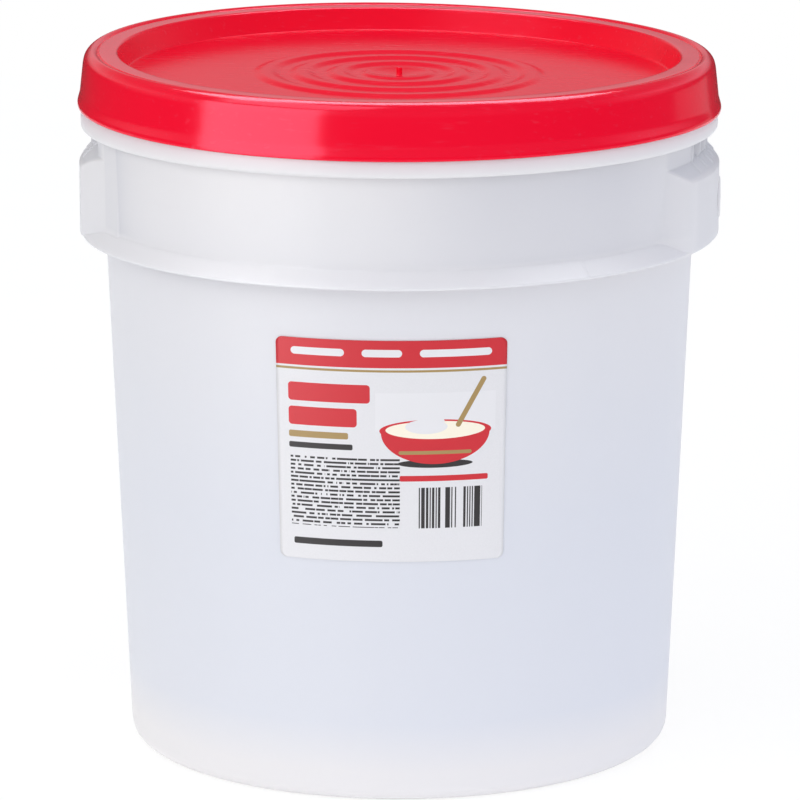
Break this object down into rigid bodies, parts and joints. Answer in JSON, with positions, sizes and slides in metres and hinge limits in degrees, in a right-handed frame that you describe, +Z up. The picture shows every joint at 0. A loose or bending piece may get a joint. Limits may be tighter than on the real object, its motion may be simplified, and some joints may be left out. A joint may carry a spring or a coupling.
{
  "type": "food pail",
  "caption": "Large round tapered food-service pail of pale plastic with a ledge ring, carrying ears, a press-on lid with a stacking recess and a paper label on the front.",
  "frame": {"origin": "on the floor, under the middle of the pail's base", "axes": "+Z up along the pail's axis; -Y is the front with the label; +X is the right-hand side as the label is read"},
  "size_m": [0.3056, 0.3052, 0.3347],
  "materials": {
    "pail_plastic": "natural polyethylene, cloudy white, satin",
    "lid_plastic": "red polyethylene, glossy skirt and soft sheen on top",
    "label_paper": "coated paper with a semi-gloss face"
  },
  "bodies": {
    "root": {"pail": "pail_plastic", "lid": "lid_plastic", "label": "label_paper"}
  },
  "joints": []
}
